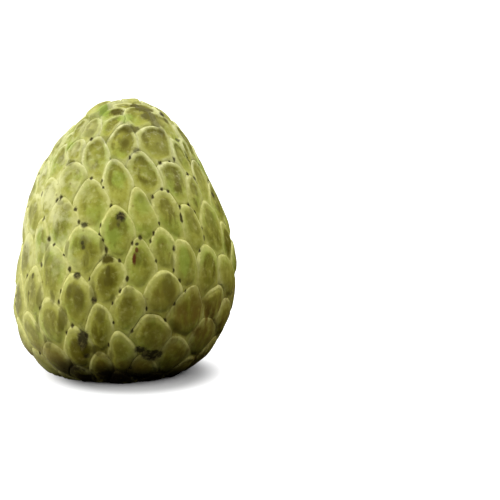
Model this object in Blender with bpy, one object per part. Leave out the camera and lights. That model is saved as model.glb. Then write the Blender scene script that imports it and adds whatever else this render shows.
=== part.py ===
# Whole custard apple, picked, standing on its broad stem end with the blossom tip up.
# Metres, +Z up. The side with the large scar faces -Y.
import bpy
import bmesh
import numpy as np

MM = 0.001

# Body at the level of its grooves: radius and height in mm, from the blossom tip
# down the side, under the foot and up into the stem hollow
OUTLINE = [
    (0.0, 117.8), (7.8, 116.2), (15.2, 112.5), (22.6, 105.4), (30.2, 95.4), (42.1, 71.8),
    (47.1, 44.8), (47.4, 34.2), (46.3, 24.0), (40.6, 11.0), (29.5, 0.7), (22.5, 0.4),
    (15.5, 3.4), (10.5, 7.2), (5.5, 10.0), (0.0, 10.3),
]
FRUIT_HEIGHT = 119.0 * MM
TIP_LEAN = 3.4 * MM          # the tip sits this far to the right, and the foot as far to the left
BELLY_SHIFT = 2.0 * MM       # and the belly this far to the right
BELLY_LEVEL = 0.45           # of the height
BELLY_SPREAD = 0.18
LUMPS = 0.45 * MM            # the body's slow swells and flats
LUMP_TURNS = (1.1, -0.6)
CURVE_STEPS = 40

# Scales, one golden-angle step apart on a spiral that starts at the blossom tip
SPIRAL_STEP = np.radians(137.255)
SPIRAL_START = np.radians(-165.1)
FIRST_SCALE = 0.89           # of a scale's area lies above the first middle
AREA_STATIONS = [0.0, 0.2, 0.4, 0.6, 0.8, 1.0]       # share of the way from tip to stem hollow
SCALE_AREAS = [55.0, 123.0, 208.0, 279.0, 218.0, 150.0]      # mm2
LENGTH_TO_WIDTH = 1.6        # of a scale on the side
ROUND_AT_TIP = 35.0 * MM     # scales grow as long as this over this way from the tip
ROUND_AT_FOOT = 30.0 * MM
TIP_SHIFT = (-0.12, 0.05)    # the spiral's centre lies beside the body's
BARE_FLOOR = 8.0 * MM        # round the stem, where no scale grows

FRONT_SCALE = 88             # the scale with the large scar

# Where the arch tops of the front scales show, seen from a little above: scales counted
# from the one with the large scar, steps to the right and down
VIEW_DISTANCE = 0.9
VIEW_TILT = np.radians(8.0)
VIEW_STEP = 0.444 * MM
VIEW_MIDDLE = 250.0
FOOT_SEEN = (123.0, 370.0)
ARCH_TOPS = {
    -71: (133, 106), -68: (87, 122), -63: (116, 113), -58: (177, 142), -55: (98, 118),
    -50: (146, 129), -47: (82, 137), -42: (118, 127), -37: (168, 163), -34: (98, 140),
    -29: (137, 149), -26: (79, 158), -24: (185, 175), -21: (117, 161), -16: (160, 192),
    -13: (93, 183), -11: (200, 207), -10: (40, 193), -8: (138, 189), -5: (58, 198),
    -3: (185, 209), 0: (117, 211), 3: (40, 218), 5: (157, 226), 8: (82, 226),
    10: (203, 243), 13: (138, 240), 16: (45, 245), 18: (184, 240), 21: (105, 254),
    24: (32, 270), 26: (163, 270), 29: (73, 272), 34: (123, 282), 37: (53, 302),
    42: (98, 304), 47: (146, 308), 50: (78, 329), 55: (118, 330), 58: (45, 337),
    63: (101, 350),
}
SEARCH_SIDE = np.radians(88.0)
SEARCH_DOWN = (0.01, 0.85)   # share of the way from tip to stem hollow
SEARCH_GRID = (353, 400)
ARCH_TO_MIDDLE = 0.56        # of the square root of a scale's area times its stretch
MOVE_REACH = 20.0 * MM       # how far the front scales draw their neighbours along
MOVE_FADE = 0.3

# Share of the upper, the middle and the lower scale in the corner between them, where
# the middle one lies to the left or to the right
CORNER_LEFT = np.array([0.37, 0.25, 0.38])
CORNER_RIGHT = np.array([0.20, 0.39, 0.41])

# Relief of a scale over its groove
RIM_HEIGHT = 1.25 * MM
TAIL_HEIGHT = 0.35 * MM
HUB_HEIGHT = 1.0 * MM
DISH_DEPTH = 0.35 * MM
DISH_PLACE = 0.45            # share of the way to the scale's middle
DISH_SPREAD = 0.25
RIM_SETBACK = 1.1 * MM
RIM_SHARE = 0.3              # of the way to the scale's middle, at most
OWN_START = -1.0             # facing down and facing well up, where a rim is low and full
OWN_END = 0.5
BOLDER_AT_TIP = 0.7          # scales stand out by this share more at the tip
BOLDER_FROM = 0.65           # of the fruit's height
BOLDER_FULL = 0.95
FADE_START = 16.0 * MM       # relief fades out towards the stem
FADE_END = 7.0 * MM

# Cut stem left in the hollow
STEM_GAP = 0.35 * MM
STEM_SIDES = 14
STEM_TOP = 9.9 * MM
STEM_SWELL = 0.05
STEM_TURN = 0.5
STEM_RINGS = [(0.0, 2.9), (0.35, 3.2), (4.6, 3.0), (6.0, 3.5), (6.9, 4.4)]   # mm up from the cut, radius
STEM_LENGTH = STEM_RINGS[-1][0] * MM

SKIN_COLOUR = (0.34, 0.38, 0.115, 1.0)
STEM_COLOUR = (0.13, 0.085, 0.045, 1.0)


def smooth_step(value):
    value = np.clip(value, 0.0, 1.0)
    return value * value * (3.0 - 2.0 * value)


def unit(vectors):
    return vectors / np.linalg.norm(vectors, axis=-1, keepdims=True)


def curve_points(before, start, end, after, steps):
    """Points of a Catmull-Rom span, from its start up to but without its end."""
    share = (np.arange(steps) / steps)[:, None]
    bend = 2.0 * before - 5.0 * start + 4.0 * end - after
    twist = -before + 3.0 * start - 3.0 * end + after
    return 0.5 * (2.0 * start + (end - before) * share + bend * share**2 + twist * share**3)


def running_sum(rate, along):
    steps = 0.5 * (rate[1:] + rate[:-1]) * np.diff(along)
    return np.concatenate([[0.0], np.cumsum(steps)])


class Body:
    """The smooth body under the scales, and the way it maps to a unit sphere."""

    def __init__(self):
        points = np.array(OUTLINE) * MM
        mirror = np.array([-1.0, 1.0])
        chain = np.vstack([points[1] * mirror, points, points[-2] * mirror])
        spans = [curve_points(*chain[i:i + 4], CURVE_STEPS) for i in range(len(points) - 1)]
        line = np.vstack(spans + [points[-1:]])
        self.radius = line[:, 0]
        self.height = line[:, 1]
        steps = np.linalg.norm(np.diff(line, axis=0), axis=1)
        self.arc = np.concatenate([[0.0], np.cumsum(steps)])
        self.length = self.arc[-1]
        slope = np.gradient(line, self.arc, axis=0)
        self.out = unit(np.stack([-slope[:, 1], slope[:, 0]], axis=1))
        self.map_to_sphere()

    def map_to_sphere(self):
        """Angle from the pole for each arc length, so that scales keep their shape."""
        near_pole = 0.8 * MM
        inner = (self.arc > near_pole) & (self.arc < self.length - near_pole)
        arc = self.arc[inner]
        way = running_sum(1.0 / (self.stretch(arc) * self.radius[inner]), arc)
        way -= np.interp(0.5 * self.length, arc, way)
        angle = 2.0 * np.arctan(np.exp(way))
        self.map_angle = np.concatenate([[0.0], angle, [np.pi]])
        self.map_arc = np.concatenate([[0.0], arc, [self.length]])

    def stretch(self, arc):
        """How much longer than wide a scale is."""
        growth = smooth_step(arc / ROUND_AT_TIP) * smooth_step((self.length - arc) / ROUND_AT_FOOT)
        return 1.0 + (LENGTH_TO_WIDTH - 1.0) * growth

    def arc_of(self, units):
        angle = np.arccos(np.clip(units[:, 2], -1.0, 1.0))
        return np.interp(angle, self.map_angle, self.map_arc)

    def units_at(self, arc, around):
        angle = np.interp(arc, self.map_arc, self.map_angle)
        flat = np.sin(angle)
        return np.stack([flat * np.sin(around), -flat * np.cos(around), np.cos(angle)], axis=1)

    def place(self, units, lift):
        """Points over the body, each lifted by its own height, none below the ground."""
        arc = self.arc_of(units)
        around = np.arctan2(units[:, 1], units[:, 0])
        oval = np.sin(2.0 * around + LUMP_TURNS[0]) * units[:, 2]
        lift = lift + LUMPS * (oval + np.sin(3.0 * around + LUMP_TURNS[1])) * (1.0 - units[:, 2] ** 2)
        radius = np.interp(arc, self.arc, self.radius) + lift * np.interp(arc, self.arc, self.out[:, 0])
        height = np.interp(arc, self.arc, self.height) + lift * np.interp(arc, self.arc, self.out[:, 1])
        across = radius * np.cos(around) + self.centre_line(height)
        return np.stack([across, radius * np.sin(around), np.maximum(height, 0.0)], axis=1)

    def centre_line(self, height):
        """How far to the right the middle of the body lies at each height."""
        level = height / FRUIT_HEIGHT
        belly = np.exp(-((level - BELLY_LEVEL) / BELLY_SPREAD) ** 2)
        return TIP_LEAN * (2.0 * level - 1.0) ** 3 + BELLY_SHIFT * belly

    def relief_share(self, units):
        """One on the outside of the fruit, falling to nothing on the floor of the stem hollow."""
        left = self.length - self.arc_of(units)
        return smooth_step((left - FADE_END) / (FADE_START - FADE_END))


def seen_place(points):
    """Where points on the body show in that view, in steps right and down."""
    forward = np.array([0.0, np.cos(VIEW_TILT), -np.sin(VIEW_TILT)])
    upward = np.array([0.0, np.sin(VIEW_TILT), np.cos(VIEW_TILT)])
    foot = (np.array(FOOT_SEEN) - VIEW_MIDDLE) * VIEW_STEP
    across = np.stack([points[:, 0] + foot[0], foot[1] - points @ upward], axis=1)
    depth = VIEW_DISTANCE + points @ forward
    return VIEW_MIDDLE + across / depth[:, None] * VIEW_DISTANCE / VIEW_STEP


def seen_arches(body):
    """Arc length and angle round the body of each arch top in the view."""
    front = np.linspace(-SEARCH_SIDE, SEARCH_SIDE, SEARCH_GRID[0])
    down = np.linspace(*SEARCH_DOWN, SEARCH_GRID[1]) * body.length
    arc, around = (grid.ravel() for grid in np.meshgrid(down, front))
    seen = seen_place(body.place(body.units_at(arc, around), np.full(len(arc), RIM_HEIGHT)))
    nearest = [np.argmin(((seen - top) ** 2).sum(axis=1)) for top in ARCH_TOPS.values()]
    return arc[nearest], around[nearest]


def settled(body, middles, area):
    """The middles moved so that the front scales lie where they show."""
    read = np.array(list(ARCH_TOPS)) + FRONT_SCALE
    arc = body.arc_of(middles)
    around = np.arctan2(middles[:, 0], -middles[:, 1])
    top_arc, top_around = seen_arches(body)
    half = ARCH_TO_MIDDLE * np.sqrt(area * body.stretch(arc))
    down = top_arc + half[read] - arc[read]
    turn = (top_around - around[read] + np.pi) % (2.0 * np.pi) - np.pi
    places = body.place(middles, np.zeros(len(middles)))
    apart = np.linalg.norm(places[:, None] - places[None, read], axis=2)
    near = np.exp(-(apart / MOVE_REACH) ** 2)
    near /= near.sum(axis=1, keepdims=True) + MOVE_FADE
    near[read] = np.eye(len(read))
    return body.units_at(arc + near @ down, around + near @ turn)


def scale_middles(body):
    """A unit vector for each scale, in order along the spiral, and one for the bare floor."""
    area = np.interp(body.arc / body.length, AREA_STATIONS, SCALE_AREAS) * MM * MM
    passed = running_sum(2.0 * np.pi * body.radius / area, body.arc)
    last = np.interp(body.length - BARE_FLOOR, body.arc, passed)
    number = np.arange(int(last))
    arc = np.interp(number + FIRST_SCALE, passed, body.arc)
    middles = body.units_at(arc, SPIRAL_START - number * SPIRAL_STEP)
    middles[:, :2] += smooth_step(middles[:, 2:]) * np.array(TIP_SHIFT)
    middles = settled(body, unit(middles), np.interp(arc, body.arc, area))
    floor = np.array([[0.0, 0.0, -1.0]])
    return np.vstack([middles, floor])


def triangles_between(middles):
    """Triangles between neighbouring scales, each wound to face outwards."""
    hull = bmesh.new()
    points = [hull.verts.new(middle) for middle in middles]
    hull.verts.index_update()
    bmesh.ops.convex_hull(hull, input=points)
    triangles = []
    for face in hull.faces:
        corners = [vert.index for vert in face.verts]
        if np.linalg.det(middles[corners]) < 0.0:
            corners.reverse()
        triangles.append(tuple(corners))
    hull.free()
    return sorted(triangles)


def rings_round(count, triangles):
    """For each scale, its neighbours in order, each with the triangle that follows it."""
    links = [{} for _ in range(count)]
    for number, (a, b, c) in enumerate(triangles):
        links[a][b] = (c, number)
        links[b][c] = (a, number)
        links[c][a] = (b, number)
    rings = []
    for link in links:
        first = min(link)
        neighbour = first
        ring = []
        while not ring or neighbour != first:
            following, triangle = link[neighbour]
            ring.append((neighbour, triangle))
            neighbour = following
        rings.append(ring)
    return rings


def arch_span(corners, ring, index):
    """Halfway point of a scale's own edge, on the round arch through its corners."""
    around = [corners[ring[(index + step) % len(ring)][1]] for step in (-2, -1, 0, 1)]
    return unit(curve_points(*around, 2)[1])


def relief(outline, hub, upward, share):
    """Height over the groove at a share of the way from the outline to the scale's middle."""
    own = smooth_step((unit(outline - hub) @ upward - OWN_START) / (OWN_END - OWN_START))
    crest = TAIL_HEIGHT + (RIM_HEIGHT - TAIL_HEIGHT) * own
    blend = smooth_step(share)
    dish = DISH_DEPTH * own * np.exp(-((share - DISH_PLACE) / DISH_SPREAD) ** 2)
    return crest * (1.0 - blend) + HUB_HEIGHT * blend - dish


def bolder(body, units, lifts):
    """The heights, with the scales near the tip standing out more."""
    level = body.place(units, np.zeros(len(units)))[:, 2] / FRUIT_HEIGHT
    return lifts * (1.0 + BOLDER_AT_TIP * smooth_step((level - BOLDER_FROM) / (BOLDER_FULL - BOLDER_FROM)))


def fruit_mesh(body):
    middles = scale_middles(body)
    triangles = triangles_between(middles)
    rings = rings_round(len(middles), triangles)
    ordered = middles[np.sort(np.array(triangles), axis=1)]
    to_right = np.linalg.det(ordered) < 0.0
    weights = np.where(to_right[:, None], CORNER_RIGHT, CORNER_LEFT)
    corners = unit(np.einsum("ti,tij->tj", weights, ordered))
    units = list(corners)
    lifts = [0.0] * len(units)
    halfway = {}
    for number, ring in enumerate(rings):
        for index, (neighbour, _) in enumerate(ring):
            if neighbour < number:
                halfway[neighbour, number] = len(units)
                units.append(arch_span(corners, ring, index))
                lifts.append(0.0)
    faces = []
    for number, ring in enumerate(rings):
        outline = []
        for index, (neighbour, triangle) in enumerate(ring):
            outline.append(halfway[min(neighbour, number), max(neighbour, number)])
            outline.append(triangle)
        add_scale(body, units, lifts, faces, outline, middles, number, ring)
    return body.place(np.array(units), bolder(body, np.array(units), np.array(lifts))), faces


def add_scale(body, units, lifts, faces, outline, middles, number, ring):
    """Rim, dish and middle of one scale, inside its outline."""
    hub = middles[number]
    edge = np.array([units[vertex] for vertex in outline])
    above = [middles[neighbour] for neighbour, _ in ring if neighbour < number]
    upward = unit(np.mean(above, axis=0) - hub) if above else np.zeros(3)
    size = np.linalg.norm(body.place(edge, np.zeros(len(edge))) - body.place(hub[None], np.zeros(1)), axis=1)
    rim_share = np.minimum(RIM_SETBACK / size, RIM_SHARE)
    count = len(outline)
    rim = list(range(len(units), len(units) + count))
    rim_units = unit(edge + (hub - edge) * rim_share[:, None])
    dish = list(range(rim[-1] + 1, rim[-1] + 1 + count // 2))
    dish_units = unit(edge[::2] + (hub - edge[::2]) * DISH_PLACE)
    middle = dish[-1] + 1
    full = body.relief_share(rim_units)
    units.extend(rim_units)
    lifts.extend(relief(edge, hub, upward, 0.0) * full)
    units.extend(dish_units)
    lifts.extend(relief(edge[::2], hub, upward, DISH_PLACE) * full[::2])
    units.append(hub)
    lifts.append(HUB_HEIGHT * body.relief_share(hub[None])[0])
    for index in range(count):
        after = (index + 1) % count
        faces.append((outline[index], outline[after], rim[after]))
        faces.append((outline[index], rim[after], rim[index]))
    for index in range(count // 2):
        after = (index + 1) % (count // 2)
        low, high, end = rim[2 * index], rim[2 * index + 1], rim[2 * after]
        faces.append((low, high, dish[index]))
        faces.append((high, end, dish[after]))
        faces.append((high, dish[after], dish[index]))
        faces.append((dish[index], dish[after], middle))


def stem_mesh():
    """Short woody stem with a flared top, cut off square inside the hollow."""
    points = []
    faces = []
    for rise, radius in STEM_RINGS:
        for side in range(STEM_SIDES):
            angle = 2.0 * np.pi * side / STEM_SIDES
            reach = radius * MM * (1.0 + STEM_SWELL * np.sin(3.0 * angle + STEM_TURN))
            points.append((reach * np.cos(angle), reach * np.sin(angle), rise * MM))
    for ring in range(len(STEM_RINGS) - 1):
        for side in range(STEM_SIDES):
            low = ring * STEM_SIDES + side
            after = ring * STEM_SIDES + (side + 1) % STEM_SIDES
            faces.append((low, after, after + STEM_SIDES, low + STEM_SIDES))
    last_ring = (len(STEM_RINGS) - 1) * STEM_SIDES
    faces.append(tuple(reversed(range(STEM_SIDES))))
    faces.append(tuple(range(last_ring, last_ring + STEM_SIDES)))
    return points, faces


def material(name, colour, roughness):
    made = bpy.data.materials.new(name)
    made.use_nodes = True
    surface = made.node_tree.nodes["Principled BSDF"]
    surface.inputs["Base Color"].default_value = colour
    surface.inputs["Roughness"].default_value = roughness
    surface.inputs["Metallic"].default_value = 0.0
    return made


def add_object(name, points, faces, finish):
    mesh = bpy.data.meshes.new(name)
    mesh.from_pydata([tuple(point) for point in points], [], faces)
    mesh.materials.append(finish)
    mesh.polygons.foreach_set("use_smooth", [True] * len(mesh.polygons))
    mesh.update()
    made = bpy.data.objects.new(name, mesh)
    bpy.context.scene.collection.objects.link(made)
    return made


def main():
    for old in list(bpy.data.objects):
        bpy.data.objects.remove(old, do_unlink=True)
    body = Body()
    points, faces = fruit_mesh(body)
    middle = 0.5 * (points.min(axis=0) + points.max(axis=0))
    fruit = add_object("fruit", points, faces, material("skin", SKIN_COLOUR, 0.55))
    fruit.location = (-middle[0], -middle[1], 0.0)
    stem = add_object("stem_stub", *stem_mesh(), material("stem_wood", STEM_COLOUR, 0.85))
    foot = STEM_TOP - STEM_GAP - STEM_LENGTH
    stem.location = (body.centre_line(STEM_TOP) - middle[0], -middle[1], foot)


main()
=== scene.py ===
import bpy
import bmesh
import numpy as np
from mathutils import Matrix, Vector, noise
from mathutils.kdtree import KDTree


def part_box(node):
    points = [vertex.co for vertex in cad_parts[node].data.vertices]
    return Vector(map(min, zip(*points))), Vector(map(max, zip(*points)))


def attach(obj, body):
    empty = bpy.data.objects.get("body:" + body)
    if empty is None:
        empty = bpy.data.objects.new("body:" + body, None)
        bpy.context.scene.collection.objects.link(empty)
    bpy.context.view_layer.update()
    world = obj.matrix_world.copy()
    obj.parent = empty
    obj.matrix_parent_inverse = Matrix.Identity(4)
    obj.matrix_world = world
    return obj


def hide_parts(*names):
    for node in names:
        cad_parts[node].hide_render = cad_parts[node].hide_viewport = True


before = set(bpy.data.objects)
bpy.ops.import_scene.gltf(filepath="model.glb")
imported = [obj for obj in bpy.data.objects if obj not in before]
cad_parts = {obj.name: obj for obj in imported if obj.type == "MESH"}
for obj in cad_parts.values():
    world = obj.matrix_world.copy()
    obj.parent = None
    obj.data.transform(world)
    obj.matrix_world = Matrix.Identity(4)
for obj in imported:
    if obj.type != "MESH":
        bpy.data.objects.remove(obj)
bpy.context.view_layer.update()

MM = 0.001

# Body at the level of its grooves: radius and height in mm, from the blossom tip
# down the side, under the foot and up into the stem hollow
OUTLINE = [
    (0.0, 117.8), (7.8, 116.2), (15.2, 112.5), (22.6, 105.4), (30.2, 95.4), (42.1, 71.8),
    (47.1, 44.8), (47.4, 34.2), (46.3, 24.0), (40.6, 11.0), (29.5, 0.7), (22.5, 0.4),
    (15.5, 3.4), (10.5, 7.2), (5.5, 10.0), (0.0, 10.3),
]
FRUIT_HEIGHT = 119.0 * MM
TIP_LEAN = 3.4 * MM
BELLY_SHIFT = 2.0 * MM
BELLY_LEVEL = 0.45
BELLY_SPREAD = 0.18
LUMPS = 0.45 * MM
LUMP_TURNS = (1.1, -0.6)
SHOULDER = 1.5 * MM           # how much fuller the fruit is high on its left
SHOULDER_LEVEL = 0.8
SHOULDER_SPREAD = 0.2
SHOULDER_OFF_AXIS = 15.0 * MM
CURVE_STEPS = 40
POLE_GAP = 0.8 * MM           # nearest to its two ends that the map to a sphere is worked out

# Scales on their golden-angle spiral
SPIRAL_STEP = np.radians(137.255)
SPIRAL_START = np.radians(-165.1)
FIRST_SCALE = 0.89
AREA_STATIONS = [0.0, 0.2, 0.4, 0.6, 0.8, 1.0]
SCALE_AREAS = [55.0, 123.0, 208.0, 279.0, 218.0, 150.0]
LENGTH_TO_WIDTH = 1.6
ROUND_AT_TIP = 35.0 * MM
ROUND_AT_FOOT = 30.0 * MM
TIP_SHIFT = (-0.12, 0.05)
BARE_FLOOR = 8.0 * MM
FRONT_SCALE = 88              # the scale with the large scar

# The view of the front, from a little above
IMAGE_PIXELS = 500.0
PIXEL_AT_FRUIT = 0.444 * MM
CAMERA_DISTANCE = 0.9
CAMERA_ELEVATION = np.radians(8.0)
FORWARD = np.array([0.0, np.cos(CAMERA_ELEVATION), -np.sin(CAMERA_ELEVATION)])
UPWARD = np.array([0.0, np.sin(CAMERA_ELEVATION), np.cos(CAMERA_ELEVATION)])
FOOT_PIXEL = (125.6, 369.5)   # where the middle of the solid's foot shows
AXIS_PIXEL = (123.0, 370.0)   # where the body's own axis meets the ground

# Where the arch tops of the front scales show: scales counted from the one with the large
# scar, pixels to the right and down
ARCH_TOPS = {
    -71: (133, 106), -68: (87, 122), -63: (116, 113), -58: (177, 142), -55: (98, 118),
    -50: (146, 129), -47: (82, 137), -42: (118, 127), -37: (168, 163), -34: (98, 140),
    -29: (137, 149), -26: (79, 158), -24: (185, 175), -21: (117, 161), -16: (160, 192),
    -13: (93, 183), -11: (200, 207), -10: (40, 193), -8: (138, 189), -5: (58, 198),
    -3: (185, 209), 0: (117, 211), 3: (40, 218), 5: (157, 226), 8: (82, 226),
    10: (203, 243), 13: (138, 240), 16: (45, 245), 18: (184, 240), 21: (105, 254),
    24: (32, 270), 26: (163, 270), 29: (73, 272), 34: (123, 282), 37: (53, 302),
    42: (98, 304), 47: (146, 308), 50: (78, 329), 55: (118, 330), 58: (45, 337),
    63: (101, 350),
}
SEARCH_SIDE = np.radians(88.0)
SEARCH_DOWN = (0.01, 0.85)    # share of the way from tip to stem hollow
SEARCH_GRID = (353, 400)
ARCH_HEIGHT = 1.0 * MM        # of the arch tops over the body
ARCH_TO_MIDDLE = 0.56         # of the square root of a scale's area times its stretch
MOVE_REACH = 20.0 * MM        # how far the front scales draw their neighbours along
MOVE_FADE = 0.3

# Share of the upper, the middle and the lower scale in the corner between them, where
# the middle one lies to the left or to the right
CORNER_LEFT = np.array([0.37, 0.25, 0.38])
CORNER_RIGHT = np.array([0.20, 0.39, 0.41])

# Relief of a scale in mm: its edge, the rim inside it, the part that follows and the middle,
# for the soft pillows low on the fruit and for the sunken dishes near its tip
CORNER_HEIGHT = 0.1 * MM
PILLOW = (0.15, 0.75, 0.95, 1.35)
DISH = (0.6, 1.0, 0.3, 0.8)
DISHES_FROM = 0.5             # of the fruit's height
DISHES_FULL = 0.8
RIM_SETBACK = 0.75 * MM
RIM_FALL = 2.6 * MM
RIM_SHARE = 0.3
OWN_START = -1.0              # upward part of the way an edge faces, where its rim is lowest
OWN_END = 0.5                 # and where it is full
OWN_AT_EDGE = 0.8
OWN_AT_POINTS = 0.5           # at the corners and the middle of a scale
ROUNDED_BY = 1.2 * MM         # depth at which a scale's outline has become an oval
BOLDER_AT_TIP = 0.4           # scales stand out by this share more at the tip
BOLDER_FROM = 0.65            # of the fruit's height
BOLDER_FULL = 0.95
FADE_START = 16.0 * MM
FADE_END = 7.0 * MM
TONES_SEEN = {                # front scales, dark 0 to pale 1
    -63: 0.5, -58: 0.5, -55: 0.6, -50: 0.2, -47: 0.7, -42: 0.3, -37: 0.3, -34: 0.4, -29: 0.25,
    -26: 0.7, -24: 0.3, -21: 0.55, -16: 0.35, -13: 0.7, -11: 0.45, -8: 0.8, -5: 0.7, -3: 0.5,
    0: 0.45, 3: 0.6, 5: 0.7, 8: 0.5, 10: 0.2, 13: 0.45, 16: 0.55, 18: 0.6, 21: 0.1, 24: 0.5,
    26: 0.4, 29: 0.15, 34: 0.6, 37: 0.4, 42: 0.3, 47: 0.5, 50: 0.0, 55: 0.5, 58: 0.5, 63: 0.1,
}
SCALE_TILT = 0.36 * MM        # scales stand a little higher or lower than each other
PROUD = {                     # mm
    -87: 0.5, -86: 0.6, -85: 0.8, -82: 0.8, -81: 2.0, -68: 0.6, -58: 0.5, -47: 0.4, -26: 0.4,
    -24: 0.4, -10: 0.5,
}
DENTS = 0.3 * MM
DENT_SIZE = 6.0 * MM
DENTS_FULL = 2.0              # mm inside a scale's edge
WOBBLE = 0.010                # of the unit sphere, how far edges wander
WOBBLE_SIZE = 0.11
WOBBLE_APART = [(0.0, 0.0, 0.0), (9.3, -1.5, -8.0), (-5.7, 2.7, 6.3)]    # in wobbles

# Mesh of a scale: points along each edge, and rings in mm and then in shares inwards
EDGE_STEPS = 7
RIM_RINGS = np.array([0.15, 0.4, 0.75, 1.1, 1.5, 2.2, 3.3])
RIM_LIMIT = 0.45              # of the way inwards, as far as the rings in mm may reach
INNER_RINGS = np.array([0.45, 0.72])

# Pores: sizes are drawn as shares, and there is no pore where a share is below zero
PORE_SIZE = 1.1 * MM
SMALLEST_PORE = 0.6           # of that size
PORE_LENGTH = 1.5             # pores are this much longer than wide
PORES_IN_CORNERS = (-0.25, 1.0)
PORES_ON_EDGES = (-1.0, 0.8)
PORES_IN_FRONT = (0.0, 0.5)
PORES_AT_RANDOM = -8.0 * MM   # in depth, further from the front than this
PORES_UP_TO = 95.0 * MM
SEED = 7


def smooth_step(value):
    """From none to all, flat at both ends."""
    value = np.clip(value, 0.0, 1.0)
    return value * value * (3.0 - 2.0 * value)


def unit(vectors):
    """The vectors, each made one long."""
    return vectors / np.linalg.norm(vectors, axis=-1, keepdims=True)


def curve_points(before, start, end, after, steps):
    """Points of a Catmull-Rom span, from its start up to but without its end."""
    share = (np.arange(steps) / steps)[:, None]
    bend = 2.0 * before - 5.0 * start + 4.0 * end - after
    twist = -before + 3.0 * start - 3.0 * end + after
    return 0.5 * (2.0 * start + (end - before) * share + bend * share**2 + twist * share**3)


def running_sum(rate, along):
    """The area under the rate, up to each point along."""
    steps = 0.5 * (rate[1:] + rate[:-1]) * np.diff(along)
    return np.concatenate([[0.0], np.cumsum(steps)])


class Body:
    """The smooth body under the scales, and the way it maps to a unit sphere."""

    def __init__(self):
        points = np.array(OUTLINE) * MM
        mirror = np.array([-1.0, 1.0])
        chain = np.vstack([points[1] * mirror, points, points[-2] * mirror])
        spans = [curve_points(*chain[i:i + 4], CURVE_STEPS) for i in range(len(points) - 1)]
        line = np.vstack(spans + [points[-1:]])
        self.radius = line[:, 0]
        self.height = line[:, 1]
        steps = np.linalg.norm(np.diff(line, axis=0), axis=1)
        self.arc = np.concatenate([[0.0], np.cumsum(steps)])
        self.length = self.arc[-1]
        slope = np.gradient(line, self.arc, axis=0)
        self.out = unit(np.stack([-slope[:, 1], slope[:, 0]], axis=1))
        self.map_to_sphere()

    def map_to_sphere(self):
        """Angle from the pole for each arc length, so that scales keep their shape."""
        inner = (self.arc > POLE_GAP) & (self.arc < self.length - POLE_GAP)
        arc = self.arc[inner]
        way = running_sum(1.0 / (self.stretch(arc) * self.radius[inner]), arc)
        way -= np.interp(0.5 * self.length, arc, way)
        angle = 2.0 * np.arctan(np.exp(way))
        self.map_angle = np.concatenate([[0.0], angle, [np.pi]])
        self.map_arc = np.concatenate([[0.0], arc, [self.length]])

    def stretch(self, arc):
        """How much longer than wide a scale is."""
        growth = smooth_step(arc / ROUND_AT_TIP) * smooth_step((self.length - arc) / ROUND_AT_FOOT)
        return 1.0 + (LENGTH_TO_WIDTH - 1.0) * growth

    def arc_of(self, units):
        """How far down the side each point of the unit sphere lies."""
        angle = np.arccos(np.clip(units[:, 2], -1.0, 1.0))
        return np.interp(angle, self.map_angle, self.map_arc)

    def units_at(self, arc, around):
        """Points of the unit sphere for places down the side and around."""
        angle = np.interp(arc, self.map_arc, self.map_angle)
        flat = np.sin(angle)
        return np.stack([flat * np.sin(around), -flat * np.cos(around), np.cos(angle)], axis=1)

    def at(self, arc, values):
        """Values along the outline, read at these arc lengths."""
        return np.interp(arc, self.arc, values)

    def place(self, units, lift):
        """Points over the body, each lifted by its own height, none below the ground."""
        arc = self.arc_of(units)
        around = np.arctan2(units[:, 1], units[:, 0])
        lift = lift + self.lumps(units, around)
        lift = lift + SHOULDER * self.shoulder_share(arc, around)
        radius = self.at(arc, self.radius) + lift * self.at(arc, self.out[:, 0])
        height = self.at(arc, self.height) + lift * self.at(arc, self.out[:, 1])
        across = radius * np.cos(around) + self.centre_line(height)
        return np.stack([across, radius * np.sin(around), np.maximum(height, 0.0)], axis=1)

    def lumps(self, units, around):
        """Height of the broad lumps that keep the body from being round."""
        oval = np.sin(2.0 * around + LUMP_TURNS[0]) * units[:, 2]
        three_sided = np.sin(3.0 * around + LUMP_TURNS[1])
        return LUMPS * (oval + three_sided) * (1.0 - units[:, 2] ** 2)

    def shoulder_share(self, arc, around):
        """One where the fruit is fullest high on its left, none on its right and its axis."""
        level = self.at(arc, self.height) / FRUIT_HEIGHT
        high = np.exp(-((level - SHOULDER_LEVEL) / SHOULDER_SPREAD) ** 2)
        off_axis = smooth_step(self.at(arc, self.radius) / SHOULDER_OFF_AXIS)
        return high * off_axis * smooth_step(-np.cos(around))

    def centre_line(self, height):
        """How far to the right the middle of the body lies at each height."""
        level = height / FRUIT_HEIGHT
        belly = np.exp(-((level - BELLY_LEVEL) / BELLY_SPREAD) ** 2)
        return TIP_LEAN * (2.0 * level - 1.0) ** 3 + BELLY_SHIFT * belly

    def relief_levels(self, units):
        """Heights of edge, rim, the part that follows and the middle, at each point."""
        height = self.at(self.arc_of(units), self.height)
        sunken = smooth_step((height / FRUIT_HEIGHT - DISHES_FROM) / (DISHES_FULL - DISHES_FROM))
        return [(low + (top - low) * sunken) * MM for low, top in zip(PILLOW, DISH)]

    def relief_share(self, units):
        """One on the outside of the fruit, falling to nothing on the floor of the stem hollow."""
        left = self.length - self.arc_of(units)
        return smooth_step((left - FADE_END) / (FADE_START - FADE_END))


def seen_place(points):
    """Where points on the body show in the view, in pixels to the right and down."""
    middle = 0.5 * IMAGE_PIXELS
    foot = (np.array(AXIS_PIXEL) - middle) * PIXEL_AT_FRUIT
    across = np.stack([points[:, 0] + foot[0], foot[1] - points @ UPWARD], axis=1)
    depth = CAMERA_DISTANCE + points @ FORWARD
    return middle + across / depth[:, None] * CAMERA_DISTANCE / PIXEL_AT_FRUIT


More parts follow.
